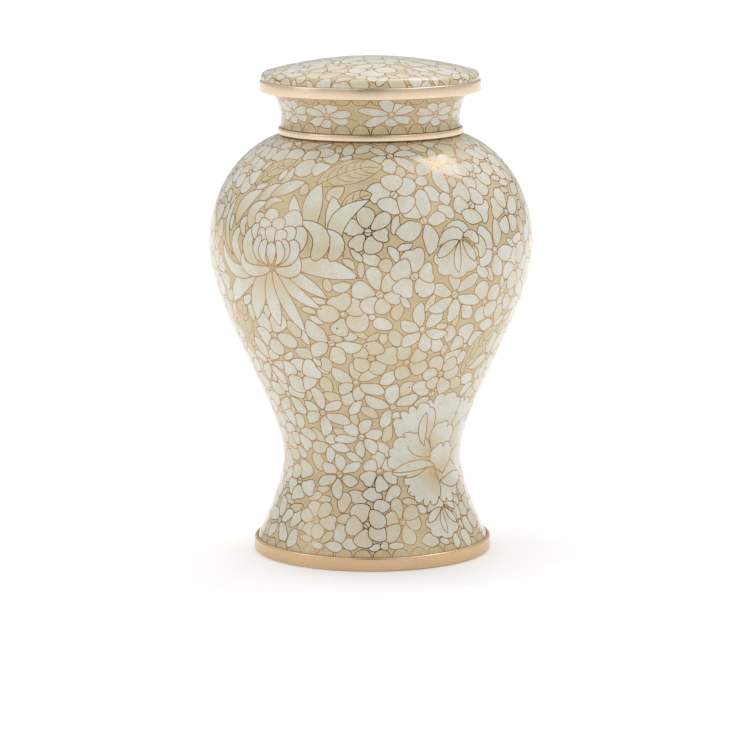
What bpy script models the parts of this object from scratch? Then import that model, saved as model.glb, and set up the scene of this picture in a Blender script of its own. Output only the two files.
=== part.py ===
"""Cloisonne cremation urn: a hollow vessel of enamelled copper with brass bands and a lift-off lid.

Metres, +Z up. The origin is the centre of the foot ring's underside, and every piece is turned
about Z. A profile is a list of (radius, height) points, and its outer side runs from top to bottom.
"""

import math

import bpy

MM = 0.001

# The vessel's outside: the radii that shape it
FOOT_RADIUS = 61.3 * MM
WAIST_RADIUS = 47.3 * MM
BELLY_RADIUS = 85.9 * MM
COLLAR_RADIUS = 47.7 * MM
MOUTH_RADIUS = 51.5 * MM

# Heights above the table, apart from the neck's, which is measured from the shoulder's end
WAIST_HEIGHT = 50.4 * MM
BELLY_HEIGHT = 165.0 * MM
SHOULDER_HEIGHT = 222.7 * MM
NECK_HEIGHT = 22.3 * MM

# Copper and the enamel on it, together
VESSEL_WALL = 2.2 * MM
FLOOR_THICKNESS = 2.4 * MM
LIP_ROUNDING = 0.6 * MM

# How the curves run between those radii: the ends' slopes, and the handles as shares of each rise
FOOT_SLOPE = math.radians(64)
FOOT_HANDLES = (0.325, 0.247)
SIDE_HANDLES = (0.247, 0.312)
SHOULDER_SLOPE = math.radians(16)
SHOULDER_HANDLES = (0.506, 0.367)
NECK_PINCH = (0.25, 1.3 * MM)
NECK_FLARE = (0.66, 3.9 * MM)

# Brass bands
FOOT_RING_HEIGHT = 7.3 * MM
FOOT_RING_WALL = 1.5 * MM
FOOT_FLANGE_WIDTH = 5.6 * MM
FOOT_FLANGE_THICKNESS = 3.0 * MM
NECK_RING_HEIGHT = 3.6 * MM
NECK_RING_WALL = 1.6 * MM
NECK_SEAT_DEPTH = 0.8 * MM
BAND_ROUNDING = 0.7 * MM

# The lid: a brass rim with a flange and a locating collar, and the enamelled dome set in it
LID_RADIUS = 58.3 * MM
LID_BAND_HEIGHT = 6.3 * MM
LID_BAND_WALL = 1.4 * MM
LID_FLANGE_THICKNESS = 2.0 * MM
LID_COLLAR_DEPTH = 8.0 * MM
LID_COLLAR_WALL = 1.8 * MM
LID_COLLAR_CLEARANCE = 0.6 * MM
DOME_MARGIN = 0.7 * MM
DOME_EDGE_HEIGHT = 3.6 * MM
DOME_RISE = 8.1 * MM
DOME_EDGE_ROUNDING = 3.2 * MM
DOME_WALL = 2.2 * MM

# Gap between two pieces that touch
FIT_GAP = 0.3 * MM

# Facets round the axis, and how far a run of straight pieces may stray from its curve
FACETS = 48
CURVE_POINTS = 60
OUTSIDE_TOLERANCE = 0.24 * MM
INSIDE_TOLERANCE = 0.42 * MM
DOME_POINTS = 5
ROUNDING_POINTS = 2
SHARP_ANGLE = math.radians(32)

# Places that follow from the sizes above
VESSEL_BOTTOM = FOOT_FLANGE_THICKNESS + FIT_GAP
MOUTH_HEIGHT = SHOULDER_HEIGHT + NECK_HEIGHT
NECK_BASE = SHOULDER_HEIGHT + NECK_RING_HEIGHT + 2 * FIT_GAP
NECK_SEAT_RADIUS = COLLAR_RADIUS - NECK_SEAT_DEPTH
LID_SEAT = MOUTH_HEIGHT + FIT_GAP
BAND_BORE = LID_RADIUS - LID_BAND_WALL
DOME_RADIUS = LID_RADIUS - DOME_MARGIN
SKIRT_RADIUS = BAND_BORE - FIT_GAP

ENAMEL_COLOUR = (0.72, 0.64, 0.49, 1)
BRASS_COLOUR = (0.83, 0.66, 0.47, 1)


def bezier(start, start_handle, end_handle, end):
    """Closely spaced points along a cubic curve, ends included."""
    points = []
    for step in range(CURVE_POINTS + 1):
        t = step / CURVE_POINTS
        weights = ((1 - t) ** 3, 3 * t * (1 - t) ** 2, 3 * t * t * (1 - t), t**3)
        corners = (start, start_handle, end_handle, end)
        radius = sum(w * c[0] for w, c in zip(weights, corners))
        height = sum(w * c[1] for w, c in zip(weights, corners))
        points.append((radius, height))
    return points


def moved_inwards(points, distance):
    """The curve moved by distance to the right of its way down, which is towards the axis."""
    moved = []
    for i, (radius, height) in enumerate(points):
        before = points[max(i - 1, 0)]
        after = points[min(i + 1, len(points) - 1)]
        along = (after[0] - before[0], after[1] - before[1])
        length = math.hypot(*along)
        moved.append((radius + distance * along[1] / length, height - distance * along[0] / length))
    return moved


def thinned(points, tolerance):
    """The points that a run of straight pieces needs to stay within tolerance of the curve."""
    start, end = points[0], points[-1]
    along = (end[0] - start[0], end[1] - start[1])
    length = math.hypot(*along)
    strays = [abs(along[0] * (z - start[1]) - along[1] * (r - start[0])) / length for r, z in points]
    furthest = strays.index(max(strays))
    if strays[furthest] <= tolerance:
        return [start, end]
    first_half = thinned(points[: furthest + 1], tolerance)
    return first_half[:-1] + thinned(points[furthest:], tolerance)


def rounded(points, corner, radius, count=ROUNDING_POINTS):
    """The profile with the corner at that index replaced by an arc of that radius."""
    x, z = points[corner]
    before, after = points[corner - 1], points[(corner + 1) % len(points)]
    to_before = math.atan2(before[1] - z, before[0] - x)
    to_after = math.atan2(after[1] - z, after[0] - x)
    turn = (to_after - to_before + math.pi) % (2 * math.pi) - math.pi
    reach = radius / math.tan(abs(turn) / 2)
    middle = to_before + turn / 2
    centre_distance = radius / math.sin(abs(turn) / 2)
    centre = (x + centre_distance * math.cos(middle), z + centre_distance * math.sin(middle))
    first = (x + reach * math.cos(to_before), z + reach * math.sin(to_before))
    last = (x + reach * math.cos(to_after), z + reach * math.sin(to_after))
    start = math.atan2(first[1] - centre[1], first[0] - centre[0])
    end = math.atan2(last[1] - centre[1], last[0] - centre[0])
    sweep = (end - start + math.pi) % (2 * math.pi) - math.pi
    arc = []
    for step in range(count + 1):
        angle = start + sweep * step / count
        arc.append((centre[0] + radius * math.cos(angle), centre[1] + radius * math.sin(angle)))
    return points[:corner] + arc + points[corner + 1 :]


def shoulder_curve():
    """From the neck ring down to the belly."""
    rise = SHOULDER_HEIGHT - BELLY_HEIGHT
    slope_reach = SHOULDER_HANDLES[1] * rise
    end = (COLLAR_RADIUS, SHOULDER_HEIGHT)
    end_handle = (
        end[0] + slope_reach * math.cos(SHOULDER_SLOPE),
        end[1] - slope_reach * math.sin(SHOULDER_SLOPE),
    )
    belly_handle = (BELLY_RADIUS, BELLY_HEIGHT + SHOULDER_HANDLES[0] * rise)
    return bezier(end, end_handle, belly_handle, (BELLY_RADIUS, BELLY_HEIGHT))


def side_curve():
    """From the belly down to the waist."""
    rise = BELLY_HEIGHT - WAIST_HEIGHT
    belly_handle = (BELLY_RADIUS, BELLY_HEIGHT - SIDE_HANDLES[1] * rise)
    waist_handle = (WAIST_RADIUS, WAIST_HEIGHT + SIDE_HANDLES[0] * rise)
    belly = (BELLY_RADIUS, BELLY_HEIGHT)
    return bezier(belly, belly_handle, waist_handle, (WAIST_RADIUS, WAIST_HEIGHT))


def foot_curve():
    """From the waist down to the top of the foot ring."""
    rise = WAIST_HEIGHT - FOOT_RING_HEIGHT
    foot = (FOOT_RADIUS, FOOT_RING_HEIGHT)
    foot_handle = (
        foot[0] - FOOT_HANDLES[0] * rise * math.cos(FOOT_SLOPE),
        foot[1] + FOOT_HANDLES[0] * rise * math.sin(FOOT_SLOPE),
    )
    waist_handle = (WAIST_RADIUS, WAIST_HEIGHT - FOOT_HANDLES[1] * rise)
    return bezier((WAIST_RADIUS, WAIST_HEIGHT), waist_handle, foot_handle, foot)


def neck_curve():
    """From the mouth down to the top of the neck ring."""
    rise = MOUTH_HEIGHT - NECK_BASE
    mouth = (MOUTH_RADIUS, MOUTH_HEIGHT)
    base = (COLLAR_RADIUS, NECK_BASE)
    flare_handle = (mouth[0] - NECK_FLARE[1], NECK_BASE + NECK_FLARE[0] * rise)
    pinch_handle = (base[0] - NECK_PINCH[1], NECK_BASE + NECK_PINCH[0] * rise)
    return bezier(mouth, flare_handle, pinch_handle, base)


def body_curve():
    """The whole belly, waist and foot, from the neck ring to the foot ring."""
    return shoulder_curve() + side_curve()[1:] + foot_curve()[1:]


def inner_neck_curve():
    """The inside of the neck, from the mouth down."""
    inner = [point for point in moved_inwards(neck_curve(), VESSEL_WALL) if point[1] < MOUTH_HEIGHT]
    return [(inner[0][0], MOUTH_HEIGHT), *inner[1:]]


def throat():
    """The narrowest place inside the neck."""
    return min(inner_neck_curve())


def vessel_profile():
    """Floor, inner wall, lip and outer wall of the one hollow piece, neck and foot included."""
    throat_radius, throat_height = throat()
    inner_neck = [point for point in inner_neck_curve() if point[1] >= throat_height]
    inner_neck = thinned(inner_neck, OUTSIDE_TOLERANCE)
    inner_body = moved_inwards(body_curve(), VESSEL_WALL)
    inner_body = [point for point in inner_body if point[0] > throat_radius]
    inner_body = thinned([(throat_radius, inner_body[0][1]), *inner_body[1:]], INSIDE_TOLERANCE)
    floor_height = VESSEL_BOTTOM + FLOOR_THICKNESS
    inner_body[-1] = (FOOT_RADIUS - VESSEL_WALL, floor_height)
    inside = [(0, floor_height)] + inner_body[::-1] + inner_neck[::-1]

    neck = thinned(neck_curve(), OUTSIDE_TOLERANCE)
    lip = rounded([inner_neck[0], *neck], 1, LIP_ROUNDING)[1:]
    ring_seat = [(NECK_SEAT_RADIUS, NECK_BASE), (NECK_SEAT_RADIUS, SHOULDER_HEIGHT)]
    outside = lip + ring_seat + thinned(body_curve(), OUTSIDE_TOLERANCE)
    underside = [(FOOT_RADIUS, VESSEL_BOTTOM), (0, VESSEL_BOTTOM)]
    return inside + outside + underside


def foot_ring_profile():
    """An L-shaped band: a wall round the vessel's foot, and a flange under it that the urn stands on."""
    bore = FOOT_RADIUS + FIT_GAP
    outer = bore + FOOT_RING_WALL
    inner = bore - FOOT_FLANGE_WIDTH
    ring = [
        (bore, FOOT_RING_HEIGHT),
        (outer, FOOT_RING_HEIGHT),
        (outer, 0),
        (inner, 0),
        (inner, FOOT_FLANGE_THICKNESS),
        (bore, FOOT_FLANGE_THICKNESS),
    ]
    ring = rounded(ring, 2, BAND_ROUNDING)
    return rounded(ring, 1, BAND_ROUNDING)


def neck_ring_profile():
    """A flat band in the seat between the shoulder and the neck."""
    bore = NECK_SEAT_RADIUS + FIT_GAP
    outer = bore + NECK_RING_WALL
    bottom = SHOULDER_HEIGHT + FIT_GAP
    top = bottom + NECK_RING_HEIGHT
    ring = [(bore, top), (outer, top), (outer, bottom), (bore, bottom)]
    ring = rounded(ring, 2, BAND_ROUNDING)
    return rounded(ring, 1, BAND_ROUNDING)


def lid_rim_profile():
    """The lid's band, the flange that rests on the lip, and the collar that drops into the neck."""
    collar = throat()[0] - LID_COLLAR_CLEARANCE
    collar_bore = collar - LID_COLLAR_WALL
    rim = [
        (BAND_BORE, LID_BAND_HEIGHT),
        (LID_RADIUS, LID_BAND_HEIGHT),
        (LID_RADIUS, 0),
        (collar, 0),
        (collar, -LID_COLLAR_DEPTH),
        (collar_bore, -LID_COLLAR_DEPTH),
        (collar_bore, LID_FLANGE_THICKNESS),
        (BAND_BORE, LID_FLANGE_THICKNESS),
    ]
    rim = rounded(rim, 2, BAND_ROUNDING)
    return rounded(rim, 1, BAND_ROUNDING)


def dome_height(radius, edge_radius, edge_height, rise):
    """Height of a shallow cap that is edge_height high at its edge."""
    return edge_height + rise * (1 - (radius / edge_radius) ** 2)


def lid_dome_profile():
    """The enamelled cap: a shallow dome with a rounded edge over the band, and a skirt inside it."""
    seat = LID_FLANGE_THICKNESS + FIT_GAP
    edge_bottom = LID_BAND_HEIGHT + FIT_GAP
    edge_top = LID_BAND_HEIGHT + DOME_EDGE_HEIGHT
    outside = []
    inside = []
    for step in range(DOME_POINTS):
        radius = DOME_RADIUS * step / DOME_POINTS
        height = dome_height(radius, DOME_RADIUS, edge_top, DOME_RISE)
        outside.append((radius, height))
        inside.append((radius * (1 - DOME_WALL / DOME_RADIUS), height - DOME_WALL))
    corner = len(outside)
    outside += [
        (DOME_RADIUS, edge_top),
        (DOME_RADIUS, edge_bottom),
        (SKIRT_RADIUS, edge_bottom),
        (SKIRT_RADIUS, seat),
    ]
    outside = rounded(outside, corner, DOME_EDGE_ROUNDING, 2 * ROUNDING_POINTS)
    skirt_bore = SKIRT_RADIUS - DOME_WALL
    inner_edge = dome_height(skirt_bore, DOME_RADIUS, edge_top, DOME_RISE) - DOME_WALL
    inside += [(skirt_bore, inner_edge - DOME_WALL / 2), (skirt_bore, seat)]
    return outside + inside[::-1]


def material(name, colour, roughness, metallic):
    made = bpy.data.materials.new(name)
    made.use_nodes = True
    made.diffuse_color = colour
    shader = made.node_tree.nodes["Principled BSDF"]
    shader.inputs["Base Color"].default_value = colour
    shader.inputs["Roughness"].default_value = roughness
    shader.inputs["Metallic"].default_value = metallic
    return made


def turned(name, profile, look, collection, parent=None):
    """One closed piece: the profile turned about Z. A profile that starts on the axis ends on it."""
    outline = bpy.data.meshes.new(name + "_profile")
    count = len(profile)
    on_axis = profile[0][0] == 0
    edges = [(i, (i + 1) % count) for i in range(count - 1 if on_axis else count)]
    outline.from_pydata([(radius, 0, height) for radius, height in profile], edges, [])
    piece = bpy.data.objects.new(name, outline)
    collection.objects.link(piece)
    screw = piece.modifiers.new("turn", "SCREW")
    screw.axis = "Z"
    screw.steps = screw.render_steps = FACETS
    screw.use_merge_vertices = True
    screw.merge_threshold = 0.01 * MM

    graph = bpy.context.evaluated_depsgraph_get()
    solid = bpy.data.meshes.new_from_object(piece.evaluated_get(graph))
    piece.modifiers.remove(screw)
    piece.data = solid
    bpy.data.meshes.remove(outline)
    solid.name = name
    solid.materials.append(look)
    solid.shade_smooth()
    solid.set_sharp_from_angle(angle=SHARP_ANGLE)
    piece.parent = parent
    return piece


def main():
    for leftover in list(bpy.data.objects):
        bpy.data.objects.remove(leftover)
    urn = bpy.data.collections.new("cremation_urn")
    bpy.context.scene.collection.children.link(urn)

    enamel = material("enamel", ENAMEL_COLOUR, 0.2, 0)
    brass = material("brass", BRASS_COLOUR, 0.3, 1)

    turned("vessel", vessel_profile(), enamel, urn)
    turned("foot_ring", foot_ring_profile(), brass, urn)
    turned("neck_ring", neck_ring_profile(), brass, urn)

    lid = bpy.data.objects.new("lid", None)
    lid.location.z = LID_SEAT
    urn.objects.link(lid)
    turned("lid_rim", lid_rim_profile(), brass, urn, lid)
    turned("lid_dome", lid_dome_profile(), enamel, urn, lid)


main()
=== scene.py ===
"""Looks of the cloisonne cremation urn: cream and tan enamel between copper-gold wires, and brass bands.

Sizes are in millimetres and turned into metres where a mesh is made. +Z is up, and the side that the
photograph shows faces -Y. The enamel pattern is drawn flat, in cells that overlap like petals do. One
triangulation of the flat drawing then gives the ground, the petals and the wires, which are laid on the
turned surface side by side, flush with each other as in the real work.
"""

import math
import random
from dataclasses import dataclass

import bpy
import numpy as np
from mathutils import Matrix, Vector
from mathutils.geometry import delaunay_2d_cdt


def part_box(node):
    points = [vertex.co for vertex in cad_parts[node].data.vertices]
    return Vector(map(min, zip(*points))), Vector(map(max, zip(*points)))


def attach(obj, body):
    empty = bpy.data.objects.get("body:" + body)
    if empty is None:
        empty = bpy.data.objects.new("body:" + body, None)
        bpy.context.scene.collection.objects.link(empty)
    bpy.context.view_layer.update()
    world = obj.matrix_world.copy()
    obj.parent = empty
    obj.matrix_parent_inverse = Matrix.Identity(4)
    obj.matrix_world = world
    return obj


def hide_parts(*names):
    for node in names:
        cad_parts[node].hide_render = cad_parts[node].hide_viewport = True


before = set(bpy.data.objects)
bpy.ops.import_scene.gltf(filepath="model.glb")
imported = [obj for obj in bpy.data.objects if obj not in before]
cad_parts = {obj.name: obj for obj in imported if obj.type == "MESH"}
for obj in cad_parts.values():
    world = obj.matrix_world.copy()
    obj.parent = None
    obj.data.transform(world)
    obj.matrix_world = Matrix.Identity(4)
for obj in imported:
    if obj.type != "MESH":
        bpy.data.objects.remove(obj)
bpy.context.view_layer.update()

MM = 0.001


def box_mm(node):
    low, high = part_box(node)
    return [c / MM for c in low], [c / MM for c in high]


# Sizes that the solids give
VESSEL_LOW, VESSEL_HIGH = box_mm("vessel")
_, RING_HIGH = box_mm("foot_ring")
NECK_RING_LOW, NECK_RING_HIGH = box_mm("neck_ring")
RIM_LOW, RIM_HIGH = box_mm("lid_rim")
DOME_LOW, DOME_HIGH = box_mm("lid_dome")

# The gap between two pieces, and the vessel's and the dome's wall, as in the solids
GAP = 0.3
WALL = 2.2

# The vessel's outside, as in the solids
FOOT_RADIUS = 61.3
FOOT_HEIGHT = RING_HIGH[2]
WAIST_RADIUS = 47.3
WAIST_HEIGHT = 50.4
BELLY_RADIUS = VESSEL_HIGH[0]
BELLY_HEIGHT = 165.0
COLLAR_RADIUS = 47.7
SHOULDER_HEIGHT = NECK_RING_LOW[2] - GAP
NECK_BASE = NECK_RING_HIGH[2] + GAP
MOUTH_RADIUS = 51.5
MOUTH_HEIGHT = VESSEL_HIGH[2]
FLOOR_THICKNESS = 2.4

FOOT_SLOPE = math.radians(64)
FOOT_HANDLES = (0.325, 0.247)
SIDE_HANDLES = (0.247, 0.312)
SHOULDER_SLOPE = math.radians(16)
SHOULDER_HANDLES = (0.506, 0.367)
NECK_PINCH = (0.25, 1.3)
NECK_FLARE = (0.66, 3.9)

# The bands and the lid, where no box shows the size
FOOT_FLANGE_WIDTH = 5.6
FOOT_FLANGE_THICKNESS = 3.0
NECK_RING_WALL = 1.6
LID_BAND_WALL = 1.4
LID_FLANGE_THICKNESS = 2.0
LID_COLLAR_RADIUS = 44.4
LID_COLLAR_WALL = 1.8
DOME_EDGE_HEIGHT = 3.6
DOME_EDGE_ROUNDING = 3.2

# Rounded edges: the bands of foot and lid, the neck ring, and inwards and down at the vessel's lip
BAND_ROUNDING = 0.8
NECK_RING_ROUNDING = 0.7
LIP_BEVEL = (0.4, 0.3)

# Width of the wire round a cell and of the lines in one, and how far a wire's normals lean at its edges
WIRE = 0.5
THIN_WIRE = 0.42
WIRE_LEAN = math.radians(8)

# Points of a curve in a profile, and facets round a turned piece
CURVE_POINTS = 61
FACETS = 160
# The grid that keeps the enamel's triangles small
GRID_COLUMNS = 120
GRID_SPACING = 4.0
# How far the dome's finer grid reaches in from its edge
FINE_EDGE = 5


# Profiles, as rows of (radius, height)


def bezier(start, start_handle, end_handle, end):
    t = np.linspace(0, 1, CURVE_POINTS)[:, None]
    corners = [np.array(p, float) for p in (start, start_handle, end_handle, end)]
    weights = ((1 - t) ** 3, 3 * t * (1 - t) ** 2, 3 * t * t * (1 - t), t**3)
    return sum(w * c for w, c in zip(weights, corners))


def body_profile():
    """From the neck ring down to the foot ring."""
    shoulder_rise = SHOULDER_HEIGHT - BELLY_HEIGHT
    reach = SHOULDER_HANDLES[1] * shoulder_rise
    out, down = reach * math.cos(SHOULDER_SLOPE), reach * math.sin(SHOULDER_SLOPE)
    shoulder = bezier(
        (COLLAR_RADIUS, SHOULDER_HEIGHT),
        (COLLAR_RADIUS + out, SHOULDER_HEIGHT - down),
        (BELLY_RADIUS, BELLY_HEIGHT + SHOULDER_HANDLES[0] * shoulder_rise),
        (BELLY_RADIUS, BELLY_HEIGHT),
    )
    side_rise = BELLY_HEIGHT - WAIST_HEIGHT
    side = bezier(
        (BELLY_RADIUS, BELLY_HEIGHT),
        (BELLY_RADIUS, BELLY_HEIGHT - SIDE_HANDLES[1] * side_rise),
        (WAIST_RADIUS, WAIST_HEIGHT + SIDE_HANDLES[0] * side_rise),
        (WAIST_RADIUS, WAIST_HEIGHT),
    )
    foot_rise = WAIST_HEIGHT - FOOT_HEIGHT
    reach = FOOT_HANDLES[0] * foot_rise
    inwards, up = reach * math.cos(FOOT_SLOPE), reach * math.sin(FOOT_SLOPE)
    foot = bezier(
        (WAIST_RADIUS, WAIST_HEIGHT),
        (WAIST_RADIUS, WAIST_HEIGHT - FOOT_HANDLES[1] * foot_rise),
        (FOOT_RADIUS - inwards, FOOT_HEIGHT + up),
        (FOOT_RADIUS, FOOT_HEIGHT),
    )
    return np.vstack([shoulder, side[1:], foot[1:]])


def neck_profile():
    """From the mouth down to the neck ring."""
    rise = MOUTH_HEIGHT - NECK_BASE
    return bezier(
        (MOUTH_RADIUS, MOUTH_HEIGHT),
        (MOUTH_RADIUS - NECK_FLARE[1], NECK_BASE + NECK_FLARE[0] * rise),
        (COLLAR_RADIUS - NECK_PINCH[1], NECK_BASE + NECK_PINCH[0] * rise),
        (COLLAR_RADIUS, NECK_BASE),
    )


def dome_profile():
    """From the dome's middle out and over its rounded edge."""
    radius = DOME_HIGH[0]
    edge = DOME_EDGE_ROUNDING
    edge_height = RIM_HIGH[2] + DOME_EDGE_HEIGHT
    rise = DOME_HIGH[2] - edge_height
    r = np.linspace(0, radius - 0.78 * edge, 50)
    cap = np.column_stack([r, edge_height + rise * (1 - (r / radius) ** 2)])
    slope = math.atan(2 * rise * r[-1] / radius**2)
    turn = np.linspace(slope, math.pi / 2, 14)[1:]
    centre = cap[-1] - edge * np.array([math.sin(slope), math.cos(slope)])
    scale = (radius - centre[0]) / edge
    arc = centre + edge * np.column_stack([np.sin(turn) * scale, np.cos(turn)])
    return np.vstack([cap, arc, [(radius, RIM_HIGH[2] + 0.1)]])


# Skins: a flat drawing surface, and where its points lie on the urn


def unit(vectors):
    return vectors / np.linalg.norm(vectors, axis=1)[:, None]


def summed(steps):
    return np.concatenate([[0], np.cumsum(steps)])


class Skin:
    """What both kinds of skin share: a profile that is read at any place along it."""

    def __init__(self, profile):
        self.radii, self.heights = profile.T
        self.steps = np.hypot(*np.diff(profile, axis=0).T)
        self.slopes = unit(np.gradient(profile, axis=0))

    def turned(self, along, x, y):
        """Positions, normals, and the directions round the urn and along the profile, all in space.

        They are read at places along the profile, on the side to which the unit vector x, y points.
        """
        rows = (self.radii, self.heights, *self.slopes.T)
        radius, height, out, rise = (np.interp(along, self.along, row) for row in rows)
        out, rise = unit(np.column_stack([out, rise])).T
        spots = np.column_stack([radius * x, radius * y, height])
        normals = np.column_stack([rise * x, rise * y, -out])
        around = np.column_stack([-y, x, np.zeros_like(x)])
        onwards = np.column_stack([out * x, out * y, rise])
        return spots, normals, around, onwards

    def nearest(self, offsets):
        """Offsets in the drawing, taken the short way round the urn."""
        offsets[..., 0] = (offsets[..., 0] + self.width / 2) % self.width - self.width / 2
        return offsets


class TurnedSkin(Skin):
    """A turned surface rolled out flat so that small shapes keep their form.

    Across is the angle from the front, up is the height. Both are stretched alike at each height, so
    that a millimetre at the reference radius is a millimetre in the drawing.
    """

    def __init__(self, profile, reference, origin_height):
        super().__init__(profile[::-1])
        middle = (self.radii[1:] + self.radii[:-1]) / 2
        ups = summed(self.steps / middle) * reference
        self.along = ups - np.interp(origin_height, self.heights, ups)
        self.reference = reference
        self.width = 2 * math.pi * reference
        self.low, self.high = self.along[0], self.along[-1]

    def border(self):
        half = self.width / 2
        return np.array([(-half, self.low), (half, self.low), (half, self.high), (-half, self.high)])

    def grid(self):
        across = np.linspace(-self.width / 2, self.width / 2, GRID_COLUMNS + 1)
        arc = summed(self.steps)
        rows = np.interp(np.linspace(0, arc[-1], round(arc[-1] / GRID_SPACING) + 1), arc, self.along)
        return np.array([(x, y) for y in rows for x in across])

    def scale(self, points):
        """Millimetres on the urn for one in the drawing."""
        return np.interp(points[..., 1], self.along, self.radii) / self.reference

    def at(self, degrees, height):
        up = np.interp(height, self.heights, self.along)
        return np.array([math.radians(degrees) * self.reference, up])

    def place(self, points):
        """Positions, normals, and the directions of across and up, all in space."""
        angle = points[:, 0] / self.reference
        return self.turned(points[:, 1], np.sin(angle), -np.cos(angle))

    def shifts(self, outline):
        """How far across the outline is drawn: as it is, and again past the seam where it reaches over."""
        found = [0.0]
        if outline[:, 0].max() > self.width / 2:
            found.append(-self.width)
        if outline[:, 0].min() < -self.width / 2:
            found.append(self.width)
        return found


class DomeSkin(Skin):
    """The lid's dome rolled out from its middle: distances from the middle are kept."""

    def __init__(self, profile):
        super().__init__(profile)
        self.along = summed(self.steps)
        self.reach = self.along[-1]
        self.width = 2 * self.reach
        self.low, self.high = -self.reach, self.reach

    def border(self):
        return circle(self.reach, FACETS)

    def grid(self):
        fine_start = self.reach - FINE_EDGE
        coarse = [circle(out, FACETS // 2) for out in np.arange(GRID_SPACING, fine_start, GRID_SPACING)]
        fine = [circle(out, FACETS) for out in np.linspace(fine_start, self.reach, 9)[:-1]]
        return np.vstack([(0.0, 0.0), *coarse, *fine])

    def scale(self, points):
        return np.ones(points.shape[:-1])

    def place(self, points):
        away = np.hypot(*points.T)
        x, y = (points / np.maximum(away, 1e-9)[:, None]).T
        spots, normals, around, outward = self.turned(away, x, y)
        across = outward * x[:, None] - around * y[:, None]
        up = outward * y[:, None] + around * x[:, None]
        return spots, -normals, across, up

    def shifts(self, outline):
        return [0.0]


# Outlines, drawn in millimetres


def turned_by(points, angle):
    sine, cosine = math.sin(angle), math.cos(angle)
    return points @ np.array([[cosine, sine], [-sine, cosine]])


def circle(radius, count=14):
    turn = np.linspace(0, 2 * math.pi, count, endpoint=False)
    return radius * np.column_stack([np.cos(turn), np.sin(turn)])


def petal_width(t, fullness, blunt, roundness):
    half = t**fullness * (1 - t**blunt) ** roundness
    return half / half.max()


def eased(count):
    """Shares from 0 to 1 that lie closer together at both ends."""
    return (1 - np.cos(np.linspace(0, math.pi, count + 1))) / 2


def left_of(along):
    return np.column_stack([-along[:, 1], along[:, 0]])


def bow(start, handle, end, s):
    """Points at the shares s of the way from start to end, drawn towards the handle."""
    return (1 - s) ** 2 * start + 2 * s * (1 - s) * handle + s * s * end


def petal(length, width, fullness, blunt, roundness, bend=0.0, notch=0.0, wave=0.0):
    """A petal that grows from the origin along +X. A wave swells one side where the other draws in."""
    t = eased(9)
    half = petal_width(t, fullness, blunt, roundness) * width / 2
    heading = bend * (t - 0.3)
    steps = np.diff(t, prepend=0) * length
    spine = np.column_stack([np.cumsum(np.cos(heading) * steps), np.cumsum(np.sin(heading) * steps)])
    side = np.column_stack([-np.sin(heading), np.cos(heading)]) * half[:, None]
    spine[-1] -= notch * length * np.array([math.cos(heading[-1]), math.sin(heading[-1])])
    swell = wave * np.sin(2.4 * math.pi * t)[:, None]
    return np.vstack([spine - side * (1 - swell), (spine + side * (1 + swell))[-2:0:-1]])


def blade(root, middle, tip, width, fullness=0.8, blunt=2.6, roundness=0.85, count=13):
    """A petal whose spine runs from root through middle to tip."""
    root, middle, tip = (np.array(p, float) for p in (root, middle, tip))
    share = 0.55
    handle = (middle - (1 - share) ** 2 * root - share**2 * tip) / (2 * share * (1 - share))
    t = eased(count)
    s = t[:, None]
    spine = bow(root, handle, tip, s)
    along = unit(2 * (1 - s) * (handle - root) + 2 * s * (tip - handle))
    half = petal_width(t, fullness, blunt, roundness) * width / 2
    side = left_of(along) * half[:, None]
    return np.vstack([spine - side, (spine + side)[-2:0:-1]])


RUFFLE_DEPTH = 0.085


def ruffled(root, tip, width, lobes, seed):
    """A broad petal that spreads from root to a gently ruffled edge through tip."""
    root, tip = np.array(root, float), np.array(tip, float)
    length = np.linalg.norm(tip - root)
    rng = random.Random(seed)
    spread = 0.9 * width / length
    breaks = np.cumsum([0] + [rng.uniform(0.7, 1.3) for _ in range(lobes)])
    breaks = breaks / breaks[-1]
    points = [np.zeros(2)]
    for start, end in zip(breaks, breaks[1:]):
        notch = RUFFLE_DEPTH * rng.uniform(0.5, 1.6)
        for share in (0, 0.12, 0.3, 0.5, 0.7, 0.88):
            u = start + (end - start) * share
            across = 2 * u - 1
            lobe = math.sqrt(1 - (2 * share - 1) ** 2)
            out = length * (1 - 0.55 * abs(across) ** 3.2) * (1 - notch * (1 - lobe))
            points.append(out * np.array([math.cos(across * spread), math.sin(across * spread)]))
    points.append(0.45 * length * np.array([math.cos(spread), math.sin(spread)]))
    heading = math.atan2(*(tip - root)[::-1])
    return root + turned_by(np.array(points), heading)


def stroke(points):
    """A thin wire along a line, pointed a little at its ends."""
    points = np.array(points, float)
    side = left_of(unit(np.gradient(points, axis=0))) * THIN_WIRE / 2
    side[[0, -1]] *= 0.6
    return np.vstack([points - side, (points + side)[::-1]])


def curve(start, middle, end, count):
    """Points from start through middle to end."""
    start, middle, end = (np.array(p, float) for p in (start, middle, end))
    handle = 2 * middle - (start + end) / 2
    return bow(start, handle, end, np.linspace(0, 1, count + 1)[:, None])


def area(outline):
    x, y = outline.T
    return (x @ np.roll(y, -1) - y @ np.roll(x, -1)) / 2


def inside(outline, points):
    """Which points lie inside the outline."""
    x, y = points[:, 0, None], points[:, 1, None]
    x0, y0 = outline.T
    x1, y1 = np.roll(outline, -1, 0).T
    flat = np.where(y1 == y0, 1e-12, y1 - y0)
    crosses = ((y0 > y) != (y1 > y)) & (x < (x1 - x0) * (y - y0) / flat + x0)
    return crosses.sum(axis=1) % 2 == 1


def edge_distance(outline, points):
    start, end = outline, np.roll(outline, -1, 0)
    along = end - start
    reach = points[:, None, :] - start[None]
    t = np.clip((reach * along).sum(2) / np.maximum((along**2).sum(1), 1e-12), 0, 1)
    return np.linalg.norm(reach - t[:, :, None] * along[None], axis=2).min(axis=1)


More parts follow.
